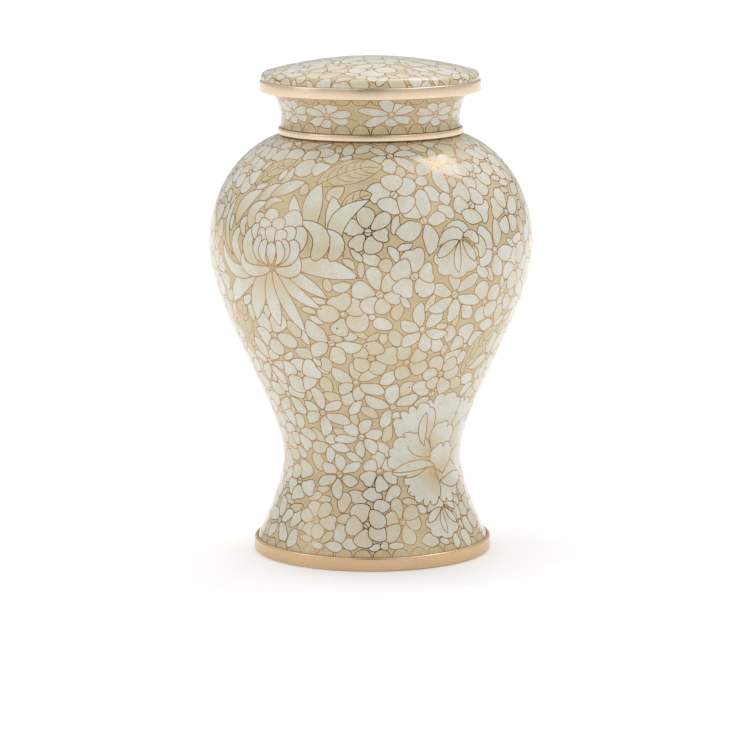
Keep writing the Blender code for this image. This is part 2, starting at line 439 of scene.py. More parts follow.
def inset(outline, widths):
    """The outline moved inwards, without the points that would cross its far side."""
    ahead = np.roll(outline, -1, 0) - outline
    ahead /= np.maximum(np.linalg.norm(ahead, axis=1), 1e-9)[:, None]
    behind = np.roll(ahead, 1, 0)
    inward = np.column_stack([-ahead[:, 1] - behind[:, 1], ahead[:, 0] + behind[:, 0]])
    closeness = np.maximum(1 + (ahead * behind).sum(1), 0.3)
    moved = outline + inward * (widths / closeness)[:, None]
    good = inside(outline, moved) & (edge_distance(outline, moved) > 0.94 * widths)
    return moved[good]


# The drawing: cells of enamel, each inside its own wire


@dataclass
class Cell:
    """One cell. tones are how white the enamel is at root and at tip; a cell with no tones is all wire."""

    outline: np.ndarray
    tones: tuple
    root: tuple
    tip: tuple
    shade: float
    wire: float
    rank: tuple


# What lies over what, from the lowest
SCALLOPS, FILLERS, PETALS, HUBS, LARGE_FLOWERS, PITS = range(6)
# The mark of the scallops among the numbers of the hubs
SCALLOPED = -1
# How much of a petal may lie on other blossoms' hubs, and on scallops
HUB_SHARE = 0.03
SCALLOP_SHARE = 0.05
# How much of a petal may lie on what is drawn already: in a blossom, alone in a gap, and on the neck
BLOSSOM_OVERLAP = 0.5
FILLER_OVERLAP = 0.4
NECK_OVERLAP = 0.85
# How white the ground is
GROUND_TONE = 0.14
# The tone of a pit, which the enamel's material paints dark
PIT = (-1, -1)
# The side of the squares in which a drawing notes what is taken
PITCH = 0.8


class Drawing:
    """Cells on one skin. A cell of a higher rank lies over the others, and a later one over an earlier."""

    def __init__(self, skin, seed):
        self.skin = skin
        self.cells = []
        self.rng = random.Random(seed)
        self.columns = int(skin.width / PITCH)
        self.rows = int((skin.high - skin.low) / PITCH) + 1
        self.taken = np.zeros((self.rows, self.columns), bool)
        self.hubs = np.zeros((self.rows, self.columns), int)
        self.rank = (SCALLOPS, 0)

    def squares(self, outline):
        """Rows and columns of the squares inside the outline."""
        origin = np.array([0, self.skin.low])
        first = np.floor((outline.min(0) - origin) / PITCH).astype(int)
        last = np.ceil((outline.max(0) - origin) / PITCH).astype(int)
        columns = np.arange(first[0], last[0] + 1)
        rows = np.arange(max(first[1], 0), min(last[1] + 1, self.rows))
        squares = np.array(np.meshgrid(columns, rows)).reshape(2, -1).T
        squares = squares[inside(outline, (squares + 0.5) * PITCH + origin)]
        return squares[:, 1], (squares[:, 0] + self.columns // 2) % self.columns

    def overlap(self, outline):
        found = self.taken[self.squares(outline)]
        return found.mean() if len(found) else 1.0

    def hits_hub(self, outline, own):
        found = self.hubs[self.squares(outline)]
        if not len(found):
            return True
        others = (found > 0) & (found != own)
        return others.mean() > HUB_SHARE or (found == SCALLOPED).mean() > SCALLOP_SHARE

    def free(self, points):
        rows = ((points[..., 1] - self.skin.low) / PITCH).astype(int)
        columns = (np.floor(points[..., 0] / PITCH).astype(int) + self.columns // 2) % self.columns
        fits = (rows >= 0) & (rows < self.rows)
        return fits & ~self.taken[np.clip(rows, 0, self.rows - 1), columns]

    def random_spot(self):
        half = self.skin.width / 2
        return np.array([self.rng.uniform(-half, half), self.rng.uniform(self.skin.low, self.skin.high)])

    def add(self, outline, tones=None, root=(0, 0), tip=(1, 0), shade=0.5, wire=WIRE):
        if area(outline) < 0:
            outline = outline[::-1]
        self.cells.append(Cell(outline, tones, tuple(root), tuple(tip), shade, wire, self.rank))
        self.reserve(outline)

    def reserve(self, outline):
        """Later single petals keep out of the outline, though no cell need fill it."""
        self.taken[self.squares(outline)] = True

    def spot(self, centre, turn=0.0, size=1.0):
        """A frame for drawing in millimetres round a centre on the urn."""
        scale = self.skin.scale(centre)

        def to_flat(points):
            return centre + turned_by(np.atleast_2d(np.array(points, float)) * size, turn) / scale

        return to_flat

    def triangulate(self):
        """Flat points, triangles, and for each triangle its cell, or -1, and whether it is wire."""
        self.cells.sort(key=lambda cell: cell.rank)
        layers = []
        for index, cell in enumerate(self.cells):
            enamel = cell.outline if cell.tones else []
            if cell.tones and cell.wire:
                enamel = inset(cell.outline, cell.wire / self.skin.scale(cell.outline))
            for shift in self.skin.shifts(cell.outline):
                layers.append((cell.outline + (shift, 0), index, True))
                if len(enamel) > 2:
                    layers.append((enamel + (shift, 0), index, False))

        points, faces = [], []
        for outline in [self.skin.border()] + [layer[0] for layer in layers]:
            faces.append(list(range(len(points), len(points) + len(outline))))
            points.extend(outline.tolist())
        points.extend(self.skin.grid().tolist())
        made = delaunay_2d_cdt([Vector(p) for p in points], [], faces, 0, 1e-5, True)
        flat = np.array([tuple(p) for p in made[0]])
        triangles = np.array(made[2])
        triangles = triangles[inside(self.skin.border(), flat[triangles].mean(axis=1))]

        middles = flat[triangles].mean(axis=1)
        order = np.argsort(middles[:, 0])
        ordered = middles[order, 0]
        owners = np.full(len(triangles), -1)
        wires = np.zeros(len(triangles), bool)
        for outline, index, wire in layers:
            low, high = outline.min(0), outline.max(0)
            near = order[slice(*np.searchsorted(ordered, (low[0], high[0])))]
            near = near[(middles[near, 1] > low[1]) & (middles[near, 1] < high[1])]
            covered = near[inside(outline, middles[near])]
            owners[covered] = index
            wires[covered] = wire
        return flat, triangles, owners, wires


# Motifs


PETAL_KINDS = (
    dict(fullness=0.5, blunt=1.7, roundness=0.5),
    dict(fullness=0.55, blunt=2.2, roundness=0.5),
    dict(fullness=0.5, blunt=1.5, roundness=0.5, bend=0.5),
    dict(fullness=0.55, blunt=2.0, roundness=0.5, bend=-0.6),
    dict(fullness=0.62, blunt=3.2, roundness=0.5, wave=0.07),
    dict(fullness=0.6, blunt=1.4, roundness=0.75, wave=-0.1),
    dict(fullness=0.62, blunt=4.0, roundness=0.5, notch=0.1),
    dict(fullness=0.6, blunt=3.6, roundness=0.5, notch=0.09, wave=-0.08, bend=0.3),
)
LEAFY_KINDS = (
    dict(fullness=0.62, blunt=1.5, roundness=0.8, bend=0.8, wave=0.1),
    dict(fullness=0.62, blunt=1.5, roundness=0.8, bend=-0.9, wave=-0.1),
    dict(fullness=0.55, blunt=1.8, roundness=0.6, bend=0.4, wave=-0.12),
    dict(fullness=0.55, blunt=2.0, roundness=0.6, bend=-0.3, wave=0.12),
)
# Kinds of petal for a blossom, and how much longer and wider than usual they are
BLOSSOM_KINDS = ((PETAL_KINDS, 1, 1), (PETAL_KINDS, 0.92, 1.08), (LEAFY_KINDS, 1.18, 0.82))
# How white a blossom's petals and the single petals are, at root and at tip
WHITES = ((0.9, 0.98), (0.84, 0.96), (0.68, 0.86), (0.52, 0.68), (0.86, 0.95))
FILLER_WHITES = ((0.95, 1.0), (0.8, 0.92), (0.62, 0.75), (0.9, 0.97), (0.5, 0.6))


def hub(drawing, centre, radius, tones):
    """The round middle of a blossom, with a bar or a curl of wire in it."""
    rng = drawing.rng
    to_flat = drawing.spot(centre, rng.uniform(0, math.pi))
    drawing.add(to_flat(circle(radius)), tones, centre, centre, rng.random())
    if rng.random() < 0.7:
        line = curve((-radius, -0.2), (0, 0.3), (radius, 0.1), 4)
    else:
        turn = np.linspace(0.3, 4.6, 8)
        line = 0.5 * radius * np.column_stack([np.cos(turn), np.sin(turn)])
    drawing.add(to_flat(stroke(line)))


def blossom(drawing, number, centre, size):
    """A small flower of five or six round petals about a hub."""
    rng = drawing.rng
    count = rng.choice((5, 5, 5, 6, 6))
    turn = rng.uniform(0, 2 * math.pi)
    radius = 1.95 * size
    tones = rng.choice(WHITES)
    kinds, stretch, widening = rng.choice(BLOSSOM_KINDS)
    drawing.rank = (PETALS, -number)
    for k in range(count):
        angle = turn + 2 * math.pi * (k + rng.uniform(-0.13, 0.13)) / count
        length = rng.uniform(7.8, 12.0) * size * stretch
        width = 9.6 * size * rng.uniform(0.8, 1.1) * (5.1 / count) * widening
        kind = rng.choice(kinds)
        shade = rng.random()
        to_flat = drawing.spot(centre, angle)
        for shrink in (1.0, 0.86, 0.74):
            outline = to_flat(petal(length * shrink, width * shrink**0.5, **kind) + (radius * 0.75, 0))
            if drawing.overlap(outline) <= BLOSSOM_OVERLAP and not drawing.hits_hub(outline, number):
                drawing.add(outline, tones, *to_flat(((radius, 0), (radius + length, 0))), shade)
                break
    drawing.rank = (HUBS, 0)
    hub(drawing, centre, radius, tones)


def blossoms(drawing, centres, sizes):
    """Blossoms on the given centres. Each keeps its petals off the others' hubs."""
    for number, (centre, size) in enumerate(zip(centres, sizes), 1):
        drawing.hubs[drawing.squares(drawing.spot(centre)(circle(2.5 * size)))] = number
    for number, (centre, size) in enumerate(zip(centres, sizes), 1):
        blossom(drawing, number, centre, size)


def leaf(drawing, centre, turn, length, width, veins):
    """A tan leaf with a midrib and side veins."""
    drawing.rank = (LARGE_FLOWERS, 0)
    to_flat = drawing.spot(centre, turn)
    root, tip = (-length / 2, 0), (length / 2, 0)
    middle = (0.05 * length, 0.1 * length)
    outline = to_flat(blade(root, middle, tip, width, fullness=0.6, blunt=2.4))
    drawing.add(outline, (0.22, 0.34), *to_flat((root, tip)), drawing.rng.random())
    rib = curve(root, middle, (0.42 * length, 0.01 * length), 8)
    drawing.add(to_flat(stroke(rib)))
    for k in range(veins):
        start = rib[1 + k * 6 // veins]
        for side in (-1, 1):
            bulge = start + (0.07 * length, side * 0.24 * width)
            end = start + (0.2 * length, side * 0.36 * width)
            drawing.add(to_flat(stroke(curve(start, bulge, end, 4))))


def add_blades(drawing, to_flat, mirror, blades, tones, *form):
    """Petals from rows of root, middle, tip and width. A mirror of -1 swaps left and right."""
    for *line, width in blades:
        root, middle, tip = np.array(line) * (mirror, 1)
        outline = to_flat(blade(root, middle, tip, width, *form))
        drawing.add(outline, tones, *to_flat((root, tip)), drawing.rng.random())


# Root, middle and tip of each petal round the bud, in millimetres, and the petal's width. Hind petals first
CHRYSANTHEMUM = (
    ((-5, 37), (1, 44), (1, 53), 6),
    ((-14, 25), (-9, 33), (-1, 39), 8),
    ((-7, 30), (4, 37), (15, 41), 9),
    ((-28, 12), (-25, 25), (-14, 34), 10),
    ((-29, -4), (-38, 13), (-34, 30), 5),
    ((17, 15), (12, 22), (9, 33), 8),
    ((24, 12), (22, 27), (25, 41), 12),
    ((33, 8), (35, 21), (33, 33), 10),
    ((41, 0), (38, 19), (55, 31), 10),
    ((12, -6), (31, -6), (49, -11), 11),
    ((4, -7), (19, -14), (32, -23), 8),
    ((3, -7), (14, -20), (28, -29), 8),
    ((-4, -8), (-24, -18), (-38, -31), 11),
    ((-2, -8), (-12, -24), (-19, -40), 11),
    ((-1, -8), (-2, -28), (-1, -42), 10),
    ((1, -8), (8, -28), (16, -45), 9),
)
# Hooked petals, nearer to the bud
CHRYSANTHEMUM_HOOKS = (
    ((-9, -9), (-31, -10), (-40, 3), 8),
    ((-19, -8), (-28, 5), (-20, 13), 7),
    ((-20, 7), (-22, 15), (-14, 16), 6),
    ((33, -2), (37, 8), (28, 14), 8.5),
    ((24, -2), (28, 11), (15, 18), 10),
    ((-14, 11), (-16, 22), (-6, 27), 8),
    ((-7, 22), (-4, 28), (4, 28), 5),
    ((-9, -7), (-17, 4), (-10, 15), 9),
    ((0, -8), (-18, -9), (-20, 0), 7),
    ((2, -8), (15, -7), (14, 4), 7),
)
# Round petals close behind the bud
CHRYSANTHEMUM_HEART = (
    ((0, 0), (-8, 14), (-9, 21), 10),
    ((0, 0), (-2, 15), (-2, 24), 10),
    ((2, 0), (11, 12), (9, 23), 14),
    ((2, -4), (15, 5), (15, 15), 11),
    ((-2, 0), (-9, 8), (-12, 15), 9),
    ((0, 0), (-5, 12), (-5, 18), 9),
    ((1, 0), (3, 13), (3, 19), 9),
    ((2, -2), (9, 8), (10, 15), 10),
    ((3, -6), (12, -1), (13, 8), 9),
    ((-1, 0), (-6, 7), (-7, 13), 7),
    ((0, 0), (-1, 9), (-1, 14), 8),
    ((1, 0), (5, 8), (6, 13), 8),
)
CHRYSANTHEMUM_BUD = (
    ((-4, -6), (-10, 1), (-7, 9), 6),
    ((4, -6), (9, 1), (7, 8), 6),
    ((-1, -7), (-6, 0), (-3, 7), 6),
    ((1, -7), (6, 0), (3, 7), 6),
    ((0, -7), (0, 0), (0, 6), 7),
)


def chrysanthemum(drawing, centre, mirror):
    """A large chrysanthemum with hooked inner petals and long lower ones, tan at the roots."""
    drawing.rank = (LARGE_FLOWERS, 0)
    for petals, tones, form in (
        (CHRYSANTHEMUM, (0.36, 1.0), (0.6, 2.4, 0.9)),
        (CHRYSANTHEMUM_HOOKS, (0.55, 1.0), (0.35, 1.9, 0.8)),
        (CHRYSANTHEMUM_HEART, (0.3, 1.0), (0.8, 5.0, 0.5)),
        (CHRYSANTHEMUM_BUD, (0.62, 0.97), (0.8, 3.0, 0.6)),
    ):
        add_blades(drawing, drawing.spot(centre), mirror, petals, tones, *form)


# Root and tip of each ruffled petal, in millimetres, its width and its lobes. Hind petals first
PEONY = (
    ((4, 8), (17, 30), 20, 5),
    ((-3, 6), (-2, 36), 24, 6),
    ((-6, 6), (-21, 30), 22, 6),
    ((7, 2), (29, 14), 22, 6),
    ((7, -4), (31, -6), 20, 5),
    ((2, -3), (15, -21), 26, 7),
    ((0, -4), (-15, -20), 26, 7),
    ((1, -1), (-28, 7), 26, 7),
    ((-3, 4), (7, 19), 19, 4),
    ((6, -9), (5, 9), 19, 4),
)
# Narrow folds and turned edges that lie on those petals
PEONY_FOLDS = (
    ((-8, 8), (-11, 17), (-11, 27), 5),
    ((1, -4), (-12, -2), (-26, -5), 6),
    ((3, -12), (14, -13), (25, -11), 8),
)


def peony(drawing, centre, mirror):
    """A large peony: ruffled petals, white at the edge and greenish tan at the root."""
    drawing.rank = (LARGE_FLOWERS, 0)
    to_flat = drawing.spot(centre)
    for k, (root, tip, width, lobes) in enumerate(PEONY):
        root, tip = np.array((root, tip)) * (mirror, 1)
        outline = to_flat(ruffled(root, tip, width, lobes, k))
        drawing.add(outline, (0.08, 1.0), *to_flat((root, tip)), drawing.rng.random())
    add_blades(drawing, to_flat, mirror, PEONY_FOLDS, (0.75, 1.0))
    fold = np.array(((-18, 9), (-12, 3), (-2, 2))) * (mirror, 1)
    drawing.add(to_flat(stroke(curve(*fold, 8))))


# Root, middle and tip of the petals of a middling flower, in millimetres, and each one's width
LOBED_BACK = (
    ((-9, 8), (0, 13), (8, 10), 7),
    ((9, 9), (14, 3), (14, -4), 8),
)
LOBED_FRONT = (
    ((-11, 3), (-3, 9), (5, 7), 8),
    ((3, 7), (9, 8), (13, 3), 6),
    ((2, 6), (-5, 3), (-11, -2), 6),
    ((2, 6), (0, -2), (1, -10), 4.5),
    ((3, 6), (7, 1), (11, -5), 5),
)
# Fullness, blunt end, roundness and number of steps of those petals
LOBED_FORM = (0.8, 2.6, 0.7, 10)


def lobed_flower(drawing, centre, size, mirror):
    """A middling flower: one wide lobed petal below, and narrow ones over it."""
    drawing.rank = (LARGE_FLOWERS, 0)
    to_flat = drawing.spot(centre, 0, size)
    add_blades(drawing, to_flat, mirror, LOBED_BACK, (0.6, 0.9), *LOBED_FORM)
    lobes = 7
    turns = np.linspace(0, 2 * math.pi, lobes * 7, endpoint=False)
    out = 12.6 - 2.2 * (1 - np.abs(np.sin(lobes * turns / 2 + 0.4)) ** 0.6)
    outline = np.column_stack([out * np.cos(turns) * 1.08, out * np.sin(turns) * 0.8 - 3]) * (mirror, 1)
    drawing.add(to_flat(outline), (0.5, 0.95), *to_flat(((0, 6), (0, -12))), drawing.rng.random())
    add_blades(drawing, to_flat, mirror, LOBED_FRONT, (0.7, 1.0), *LOBED_FORM)


def scallops(drawing, up, count, radius, rise, shift=0.5):
    """A row of half rounds that stand on, or hang from, a brass band."""
    drawing.rank = (SCALLOPS, 0)
    for k in range(count):
        across = (k + shift) / count * drawing.skin.width - drawing.skin.width / 2
        outline = circle(radius, 22) * (1, rise) + (across, up)
        drawing.add(outline, (0.12, 0.2), (across, up), (across, up + radius), drawing.rng.random())
        drawing.hubs[drawing.squares(outline)] = SCALLOPED


def fillers(drawing, tries, least=3.6):
    """Single petals in the spaces that are left between the flowers, none narrower than least."""
    rng = drawing.rng
    drawing.rank = (FILLERS, 0)
    longest, half_widest = 11.0, 3.6
    directions = np.linspace(0, math.pi, 8, endpoint=False)
    steps = np.arange(0.4, 7.0, 0.4)
    for _ in range(tries):
        centre = drawing.random_spot()
        if not drawing.free(centre):
            continue
        scale = drawing.skin.scale(centre)

        def reach(start, angle):
            ray = start + np.outer(steps, (math.cos(angle), math.sin(angle))) / scale
            blocked = ~drawing.free(ray)
            return steps[np.argmax(blocked)] if blocked.any() else steps[-1]

        chords = [(reach(centre, a) + reach(centre, a + math.pi), a) for a in directions]
        _, axis = max(chords)
        ahead, back = reach(centre, axis), reach(centre, axis + math.pi)
        middle = centre + (ahead - back) / 2 * np.array([math.cos(axis), math.sin(axis)]) / scale
        side = math.pi / 2
        half = min(reach(middle, axis + side), reach(middle, axis - side), half_widest)
        length = min(ahead + back, longest, 4.4 * half)
        if 2 * half < least or length < 4:
            continue
        if rng.random() < 0.5:
            axis += math.pi
        kind = rng.choice(PETAL_KINDS[:4] + LEAFY_KINDS)
        to_flat = drawing.spot(middle, axis)
        outline = to_flat(petal(length * 1.06, 2 * half * 1.12, **kind) - (length * 0.53, 0))
        if drawing.overlap(outline) > FILLER_OVERLAP:
            continue
        tones = rng.choice(FILLER_WHITES)
        drawing.add(outline, tones, *to_flat(((-length / 2, 0), (length / 2, 0))), rng.random())


def pits(drawing, spots, count):
    """Tiny dark pits on the given spots, and at as many ends of small petals as count says."""
    rng = drawing.rng
    petals = [cell for cell in drawing.cells if cell.tones and cell.rank[0] in (FILLERS, PETALS)]
    ends = [cell.outline[rng.choice((0, len(cell.outline) // 2))] for cell in rng.sample(petals, count)]
    drawing.rank = (PITS, 0)
    for spot in [*spots, *ends]:
        outline = drawing.spot(spot)(circle(rng.uniform(0.26, 0.5), 8))
        drawing.add(outline, PIT, spot, spot, 0.5, 0)


def girth_size(scale):
    """Flowers are a little larger where the urn is wider."""
    return 0.88 + 0.34 * scale


def scattered(drawing, spacing, placed):
    """Centres for further blossoms, clear of the ones that are placed and of what is drawn."""
    skin = drawing.skin
    spots = list(placed)
    tries, clearance = 9000, 3.0
    for _ in range(tries):
        spot = drawing.random_spot()
        scale = skin.scale(spot)
        away = skin.nearest(np.array(spots) - spot)
        if (np.hypot(*away.T) * scale).min() < spacing * girth_size(scale):
            continue
        if drawing.free(np.vstack([spot, spot + circle(clearance / scale, 8)])).all():
            spots.append(spot)
    return spots[len(placed) :]


# Where things are on the front: degrees round from the middle, to the right, and height
CHRYSANTHEMUM_SPOT = (-36.6, 168.5)
PEONY_SPOT = (43.9, 54.3)
LOBED_SPOTS = ((31, 169, 1.05), (43, 24, 0.88))
BLOSSOM_SPOTS = (
    (-1, 181), (9, 199), (19, 186), (40, 192), (47, 206), (58, 186), (48, 168), (15, 158), (3, 149),
    (31, 147), (46, 141), (62, 157), (20, 129), (-10, 138), (-16, 122), (-42, 124), (0, 114), (-7, 100),
    (-34, 103), (-27, 82), (11, 86), (-6, 69), (-49, 70), (-21, 48), (-52, 42), (5, 50), (-3, 23),
    (-33, 24), (-62, 20), (-51, 108), (15, 111), (33, 103), (17, 24), (42, 117), (31, 92), (-47, 90),
    (-61, 80), (-61, 206), (-25, 215), (-72, 176), (65, 211), (78, 199), (-68, 128),
)
LEAVES = (
    (-8, 208, 0.35, 36, 17, 5),
    (-5, 195, 0.6, 19, 10, 3),
    (-57, 127, 1.35, 30, 15, 4),
    (-44, 208, 0.75, 27, 11, 4),
    (53, 113, 1.0, 32, 14, 4),
)
PIT_SPOTS = (
    (-5, 158), (-13, 130.5), (-8.5, 180.5), (16.5, 149), (40, 151), (28, 134), (18.5, 110), (18, 97),
    (-36, 100), (-2, 121), (24, 38.5), (61, 73.5), (62, 71.5),
)


def on_side(skin, mirror, degrees, height):
    """A place on the front, or with a mirror of -1 the same place on the back, left and right swapped."""
    turn = 0 if mirror > 0 else 180
    return skin.at((degrees * mirror + turn + 180) % 360 - 180, height)


def draw_body():
    skin = TurnedSkin(body_profile(), BELLY_RADIUS, BELLY_HEIGHT)
    drawing = Drawing(skin, 7)
    foot_scale = FOOT_RADIUS / BELLY_RADIUS
    collar_scale = COLLAR_RADIUS / BELLY_RADIUS
    scallops(drawing, skin.low, 38, 4.9 / foot_scale, 0.92)
    scallops(drawing, skin.high, 30, 4.9 / collar_scale, 0.8)

    large = []
    for mirror in (1, -1):
        for degrees, height, lean, length, width, veins in LEAVES:
            centre = on_side(skin, mirror, degrees, height)
            leaf(drawing, centre, lean if mirror > 0 else math.pi - lean, length, width, veins)
        for degrees, height, size in LOBED_SPOTS:
            lobed_flower(drawing, on_side(skin, mirror, degrees, height), size, mirror)
        peony(drawing, on_side(skin, mirror, *PEONY_SPOT), mirror)
        centre = on_side(skin, mirror, *CHRYSANTHEMUM_SPOT)
        chrysanthemum(drawing, centre, mirror)
        large.append(centre)

    spots = [skin.at(*spot) for spot in BLOSSOM_SPOTS]
    spots += scattered(drawing, 17.0, spots)
    blossoms(drawing, spots, [girth_size(skin.scale(spot)) for spot in spots])
    # The single petals keep off the ground round the large flowers
    for centre in large:
        drawing.reserve(drawing.spot(centre)(circle(33, 24) + (0, 3)))
    fillers(drawing, 12000)
    pits(drawing, [skin.at(*spot) for spot in PIT_SPOTS], 50)
    return drawing


# Degrees round the neck, and each petal's direction, length and width
WINGED_FLOWER = 13
NECK_FLOWERS = (-57, -28, WINGED_FLOWER, 45, 77, 109, 142, 175, -152, -120, -89)
NECK_FLOWER_HEIGHT = 236.3
NECK_PETALS = (
    (65, 11, 8), (115, 11, 8), (-90, 9.5, 8), (-28, 12, 8), (-152, 12, 8), (20, 13, 8), (160, 13, 8),
)


def draw_neck():
    skin = TurnedSkin(neck_profile(), COLLAR_RADIUS, NECK_BASE)
    drawing = Drawing(skin, 11)
    scallops(drawing, skin.low + 3.2, 30, 4.9, 1.0, 0.0)
    scallops(drawing, skin.low, 30, 4.9, 1.0)
    scallops(drawing, skin.high, 32, 4.6, 0.8)
    for number, degrees in enumerate(NECK_FLOWERS):
        centre = skin.at(degrees, NECK_FLOWER_HEIGHT + 0.5 * (-1) ** number)
        to_flat = drawing.spot(centre)
        drawing.rank = (PETALS, 0)
        for angle, length, width in NECK_PETALS:
            # The flower by the widest gap has longer wings on that side
            if degrees == WINGED_FLOWER and abs(angle) > 90:
                length *= 1.3
            angle = math.radians(angle + drawing.rng.uniform(-9, 9))
            shape = turned_by(petal(length, width, **drawing.rng.choice(PETAL_KINDS)) + (1.2, 0), angle)
            outline = to_flat(shape * (1, 0.62))
            if drawing.overlap(outline) < NECK_OVERLAP:
                tip = outline[len(outline) // 2]
                drawing.add(outline, (0.9, 1.0), centre, tip, drawing.rng.random())
        hub(drawing, centre, 1.9, (0.9, 1.0))
    return drawing


def draw_dome():
    skin = DomeSkin(dome_profile())
    drawing = Drawing(skin, 5)
    spots = [np.array(p, float) for p in ((0, -38), (0, 4), (-33, -20), (33, -20))]
    spots += [spot for spot in scattered(drawing, 16.5, spots) if np.hypot(*spot) < skin.reach - 6]
    blossoms(drawing, spots, [1.2] * len(spots))
    fillers(drawing, 2000, 4.0)
    pits(drawing, [], 8)
    return drawing


# Meshes


def linked(name, data):
    """A new object in the scene."""
    made = bpy.data.objects.new(name, data)
    bpy.context.scene.collection.objects.link(made)
    return made


def new_piece(name, mesh, look, node):
    piece = linked(name, mesh)
    mesh.materials.append(look)
    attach(piece, "root")
    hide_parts(node)


def crowned(flat, triangles, normals, across, up):
    """Normals that lean outwards at a wire's two edges, so that it shines as if it were rounded."""
    edges = np.sort(triangles[:, [0, 1, 1, 2, 2, 0]].reshape(-1, 2), axis=1)
    third = triangles[:, [2, 0, 1]].reshape(-1)
    _, first, counts = np.unique(edges, axis=0, return_index=True, return_counts=True)
    lone = first[counts == 1]
    ends, third = edges[lone], third[lone]
    outward = left_of(flat[ends[:, 0]] - flat[ends[:, 1]])
    facing = ((flat[third] - flat[ends[:, 0]]) * outward).sum(1) > 0
    outward[facing] *= -1
    lean = np.zeros_like(flat)
    for column in (0, 1):
        np.add.at(lean, ends[:, column], outward)
    size = np.linalg.norm(lean, axis=1)
    lean /= np.maximum(size, 1e-9)[:, None]
    sine, cosine = math.sin(WIRE_LEAN), math.cos(WIRE_LEAN)
    leant = normals * cosine + (across * lean[:, :1] + up * lean[:, 1:]) * sine
    return np.where((size > 1e-6)[:, None], leant, normals)


@dataclass
class Patch:
    """Triangles in space, with normals, and the enamel's colour facts at each corner."""

    spots: np.ndarray
    normals: np.ndarray
    triangles: np.ndarray
    glaze: np.ndarray


def petal_glaze(drawing, owners, corners):
    """How far each corner is from root to tip, the tones at both, and the cell's shade."""
    cells = drawing.cells
    roots = np.array([cell.root for cell in cells])[owners]
    along = np.array([cell.tip for cell in cells])[owners] - roots
    tones = np.array([cell.tones or (0, 0) for cell in cells])[owners]
    shades = np.array([cell.shade for cell in cells])[owners]
    # A corner past the seam is measured from the copy of its root that is on the same side
    away = drawing.skin.nearest(corners - roots[:, None])
    share = (away * along[:, None]).sum(2) / np.maximum((along**2).sum(1), 1e-6)[:, None]
    parts = (np.clip(share, 0, 1).reshape(-1), np.repeat(tones, 3, axis=0), np.repeat(shades, 3))
    return np.column_stack(parts)


def patches(drawing):
    """The drawing's ground, petals and wires, laid on its skin."""
    flat, triangles, owners, wires = drawing.triangulate()
    spots, normals, across, up = drawing.skin.place(flat)
    made = {}
    kinds = {"ground": ~wires & (owners < 0), "petals": ~wires & (owners >= 0), "wires": wires}
    for kind, chosen in kinds.items():
        faces = triangles[chosen]
        facing = normals
        glaze = np.zeros((len(faces) * 3, 4)) + (0, GROUND_TONE, GROUND_TONE, 0.5)
        if kind == "wires":
            facing = crowned(flat, faces, normals, across, up)
        if kind == "petals":
            glaze = petal_glaze(drawing, owners[chosen], flat[faces])
        used, faces = np.unique(faces, return_inverse=True)
        made[kind] = Patch(spots[used], facing[used], faces.reshape(-1, 3), glaze)
    return made


def joined(parts):
    """Several patches as one."""
    offsets = np.cumsum([0] + [len(p.spots) for p in parts[:-1]])
    return Patch(
        np.vstack([p.spots for p in parts]),
        np.vstack([p.normals for p in parts]),
        np.vstack([p.triangles + o for p, o in zip(parts, offsets)]),
        np.vstack([p.glaze for p in parts]),
    )


def patch_mesh(name, patch, coloured):
    mesh = bpy.data.meshes.new(name)
    count = len(patch.triangles)
    mesh.vertices.add(len(patch.spots))
    mesh.loops.add(count * 3)
    mesh.polygons.add(count)
    mesh.vertices.foreach_set("co", (patch.spots * MM).astype(np.float32).ravel())
    mesh.loops.foreach_set("vertex_index", patch.triangles.astype(np.int32).ravel())
    mesh.polygons.foreach_set("loop_start", np.arange(0, count * 3, 3, dtype=np.int32))
    mesh.update(calc_edges=True)
    if coloured:
        glaze = mesh.attributes.new("glaze", "FLOAT_COLOR", "CORNER")
        glaze.data.foreach_set("color", patch.glaze.astype(np.float32).ravel())
    mesh.shade_smooth()
    mesh.normals_split_custom_set_from_vertices(unit(patch.normals).tolist())
    return mesh


def turned_piece(name, profiles, look, node):
    """Profiles turned about Z, each from its top down along its outer side. A radius of 0 closes one."""
    vertices, faces = [], []
    turn = np.linspace(0, 2 * math.pi, FACETS, endpoint=False)
    for profile in profiles:
        rings = []
        for radius, height in profile:
            start = len(vertices)
            if radius < 1e-6:
                rings.append([start] * FACETS)
                vertices.append((0, 0, height * MM))
                continue
            reach = radius * MM
            vertices.extend((reach * math.cos(a), reach * math.sin(a), height * MM) for a in turn)
            rings.append(list(range(start, start + FACETS)))
        for upper, lower in zip(rings, rings[1:]):
            for k in range(FACETS):
                n = (k + 1) % FACETS
                corners = [upper[k], lower[k], lower[n], upper[n]]
                faces.append(list(dict.fromkeys(corners)))
    mesh = bpy.data.meshes.new(name)
    mesh.from_pydata(vertices, [], faces)
    mesh.shade_smooth()
    mesh.set_sharp_from_angle(angle=math.radians(40))
    new_piece(name, mesh, look, node)


def rounded(corner, before, after, radius):
    """Points of an arc that rounds off a corner."""
    corner, before, after = (np.array(p, float) for p in (corner, before, after))
    one = (before - corner) / np.linalg.norm(before - corner)
    two = (after - corner) / np.linalg.norm(after - corner)
    start, end = corner + one * radius, corner + two * radius
    centre = corner + (one + two) * radius
    angles = [math.atan2(*(p - centre)[::-1]) for p in (start, end)]
    sweep = (angles[1] - angles[0] + math.pi) % (2 * math.pi) - math.pi
    turn = angles[0] + sweep * np.linspace(0, 1, 6)
    return [tuple(centre + radius * np.array([math.cos(a), math.sin(a)])) for a in turn]


def band_profile(bore, outer, low, high, edge):
    """A flat band with rounded outer edges, from its top inner corner round to its bottom one."""
    top, bottom = (outer, high), (outer, low)
    return [
        (bore, high),
        *rounded(top, (bore, high), bottom, edge),
        *rounded(bottom, top, (bore, low), edge),
        (bore, low),
    ]


# Materials


